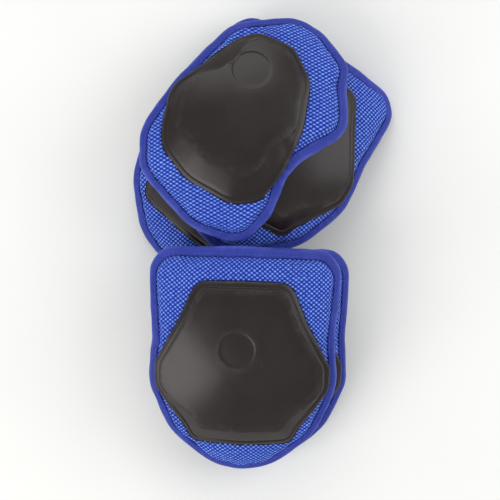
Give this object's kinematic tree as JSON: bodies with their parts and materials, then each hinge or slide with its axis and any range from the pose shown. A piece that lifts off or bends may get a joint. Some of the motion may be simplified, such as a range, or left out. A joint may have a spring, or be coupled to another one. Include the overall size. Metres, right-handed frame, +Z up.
{
  "type": "protective knee and elbow pad set",
  "caption": "Nested hard-cap knee pads with an elbow pad on top: mesh-covered padding, bound edges, moulded caps, elastic straps with hook-and-loop tabs.",
  "frame": {"origin": "centre of the set's bounding box, on the surface it lies on", "axes": "+Z up through the caps, +Y from the front stack of pads to the rear stack, +X to the right as seen from above"},
  "size_m": [0.2012, 0.3474, 0.0902],
  "materials": {
    "cap_plastic": "moulded near-black, semi-gloss, slightly warm, fine handling scuffs",
    "cover_mesh": "coarse open knit, pale blue threads over darker blue",
    "binding_tape": "smooth woven royal-blue edge tape, top-stitched",
    "lining_knit": "brushed dark knit",
    "foam_padding": "closed-cell foam, matt",
    "strap_elastic": "ribbed woven elastic",
    "hook_tape": "hook tape, satin",
    "loop_tape": "loop pile, matt"
  },
  "bodies": {
    "base_knee_pad": {"base_knee_pad_back_lining": "lining_knit", "base_knee_pad_foam_core": "foam_padding", "base_knee_pad_mesh_cover": "cover_mesh", "base_knee_pad_edge_binding": "binding_tape", "base_knee_pad_cap": "cap_plastic", "base_knee_pad_strap_upper": "strap_elastic", "base_knee_pad_loop_patch_upper": "loop_tape", "base_knee_pad_strap_lower": "strap_elastic", "base_knee_pad_loop_patch_lower": "loop_tape"},
    "middle_knee_pad": {"middle_knee_pad_back_lining": "lining_knit", "middle_knee_pad_foam_core": "foam_padding", "middle_knee_pad_mesh_cover": "cover_mesh", "middle_knee_pad_edge_binding": "binding_tape", "middle_knee_pad_cap": "cap_plastic", "middle_knee_pad_strap_upper": "strap_elastic", "middle_knee_pad_loop_patch_upper": "loop_tape", "middle_knee_pad_strap_lower": "strap_elastic", "middle_knee_pad_hook_tab_lower": "hook_tape", "middle_knee_pad_loop_patch_lower": "loop_tape"},
    "top_elbow_pad": {"top_elbow_pad_back_lining": "lining_knit", "top_elbow_pad_foam_core": "foam_padding", "top_elbow_pad_mesh_cover": "cover_mesh", "top_elbow_pad_edge_binding": "binding_tape", "top_elbow_pad_cap": "cap_plastic", "top_elbow_pad_strap": "strap_elastic", "top_elbow_pad_hook_tab": "hook_tape", "top_elbow_pad_loop_patch": "loop_tape"},
    "under_knee_pad": {"under_knee_pad_back_lining": "lining_knit", "under_knee_pad_foam_core": "foam_padding", "under_knee_pad_mesh_cover": "cover_mesh", "under_knee_pad_edge_binding": "binding_tape", "under_knee_pad_cap": "cap_plastic", "under_knee_pad_strap_upper": "strap_elastic", "under_knee_pad_loop_patch_upper": "loop_tape", "under_knee_pad_strap_lower": "strap_elastic", "under_knee_pad_loop_patch_lower": "loop_tape"},
    "front_knee_pad": {"front_knee_pad_back_lining": "lining_knit", "front_knee_pad_foam_core": "foam_padding", "front_knee_pad_mesh_cover": "cover_mesh", "front_knee_pad_edge_binding": "binding_tape", "front_knee_pad_cap": "cap_plastic", "front_knee_pad_strap_upper": "strap_elastic", "front_knee_pad_hook_tab_upper": "hook_tape", "front_knee_pad_loop_patch_upper": "loop_tape", "front_knee_pad_strap_lower": "strap_elastic", "front_knee_pad_hook_tab_lower": "hook_tape", "front_knee_pad_loop_patch_lower": "loop_tape"},
    "base_knee_pad_upper_tab": {"base_knee_pad_hook_tab_upper": "hook_tape"},
    "base_knee_pad_lower_tab": {"base_knee_pad_hook_tab_lower": "hook_tape"},
    "under_knee_pad_upper_tab": {"under_knee_pad_hook_tab_upper": "hook_tape"},
    "under_knee_pad_lower_tab": {"under_knee_pad_hook_tab_lower": "hook_tape"},
    "middle_knee_pad_upper_tab": {"middle_knee_pad_hook_tab_upper": "hook_tape"}
  },
  "joints": [
    {"name": "middle_knee_pad_lift", "type": "slide", "parent": "base_knee_pad", "child": "middle_knee_pad", "axis": [0, 0, 1], "range_m": [0, 0.12]},
    {"name": "top_elbow_pad_lift", "type": "slide", "parent": "middle_knee_pad", "child": "top_elbow_pad", "axis": [0, 0, 1], "range_m": [0, 0.1]},
    {"name": "under_knee_pad_lift", "type": "slide", "parent": "middle_knee_pad", "child": "under_knee_pad", "axis": [0, 0, 1], "range_m": [0, 0.1]},
    {"name": "front_knee_pad_lift", "type": "slide", "parent": "under_knee_pad", "child": "front_knee_pad", "axis": [0, 0, 1], "range_m": [0, 0.1]},
    {"name": "base_knee_pad_tab_upper_peel", "type": "hinge", "parent": "base_knee_pad", "child": "base_knee_pad_upper_tab", "pos_m": [0.03697, 0.07117, 0.02782], "axis": [0.6077, 0.737, -0.296], "range_deg": [0, 75]},
    {"name": "base_knee_pad_tab_lower_peel", "type": "hinge", "parent": "base_knee_pad", "child": "base_knee_pad_lower_tab", "pos_m": [-0.01496, 0.01984, 0.03159], "axis": [0.6479, 0.7252, 0.2331], "range_deg": [0, 75]},
    {"name": "under_knee_pad_tab_upper_peel", "type": "hinge", "parent": "under_knee_pad", "child": "under_knee_pad_upper_tab", "pos_m": [0.03107, -0.04125, 0.0524], "axis": [-0.0183, 0.9973, -0.0704], "range_deg": [0, 75]},
    {"name": "under_knee_pad_tab_lower_peel", "type": "hinge", "parent": "under_knee_pad", "child": "under_knee_pad_lower_tab", "pos_m": [0.02446, -0.11296, 0.03973], "axis": [0.0369, 0.8937, 0.4471], "range_deg": [0, 75]},
    {"name": "middle_knee_pad_tab_upper_peel", "type": "hinge", "parent": "middle_knee_pad", "child": "middle_knee_pad_upper_tab", "pos_m": [0.06462, 0.09996, 0.02751], "axis": [0.3646, 0.8091, -0.4609], "range_deg": [0, 22]}
  ]
}
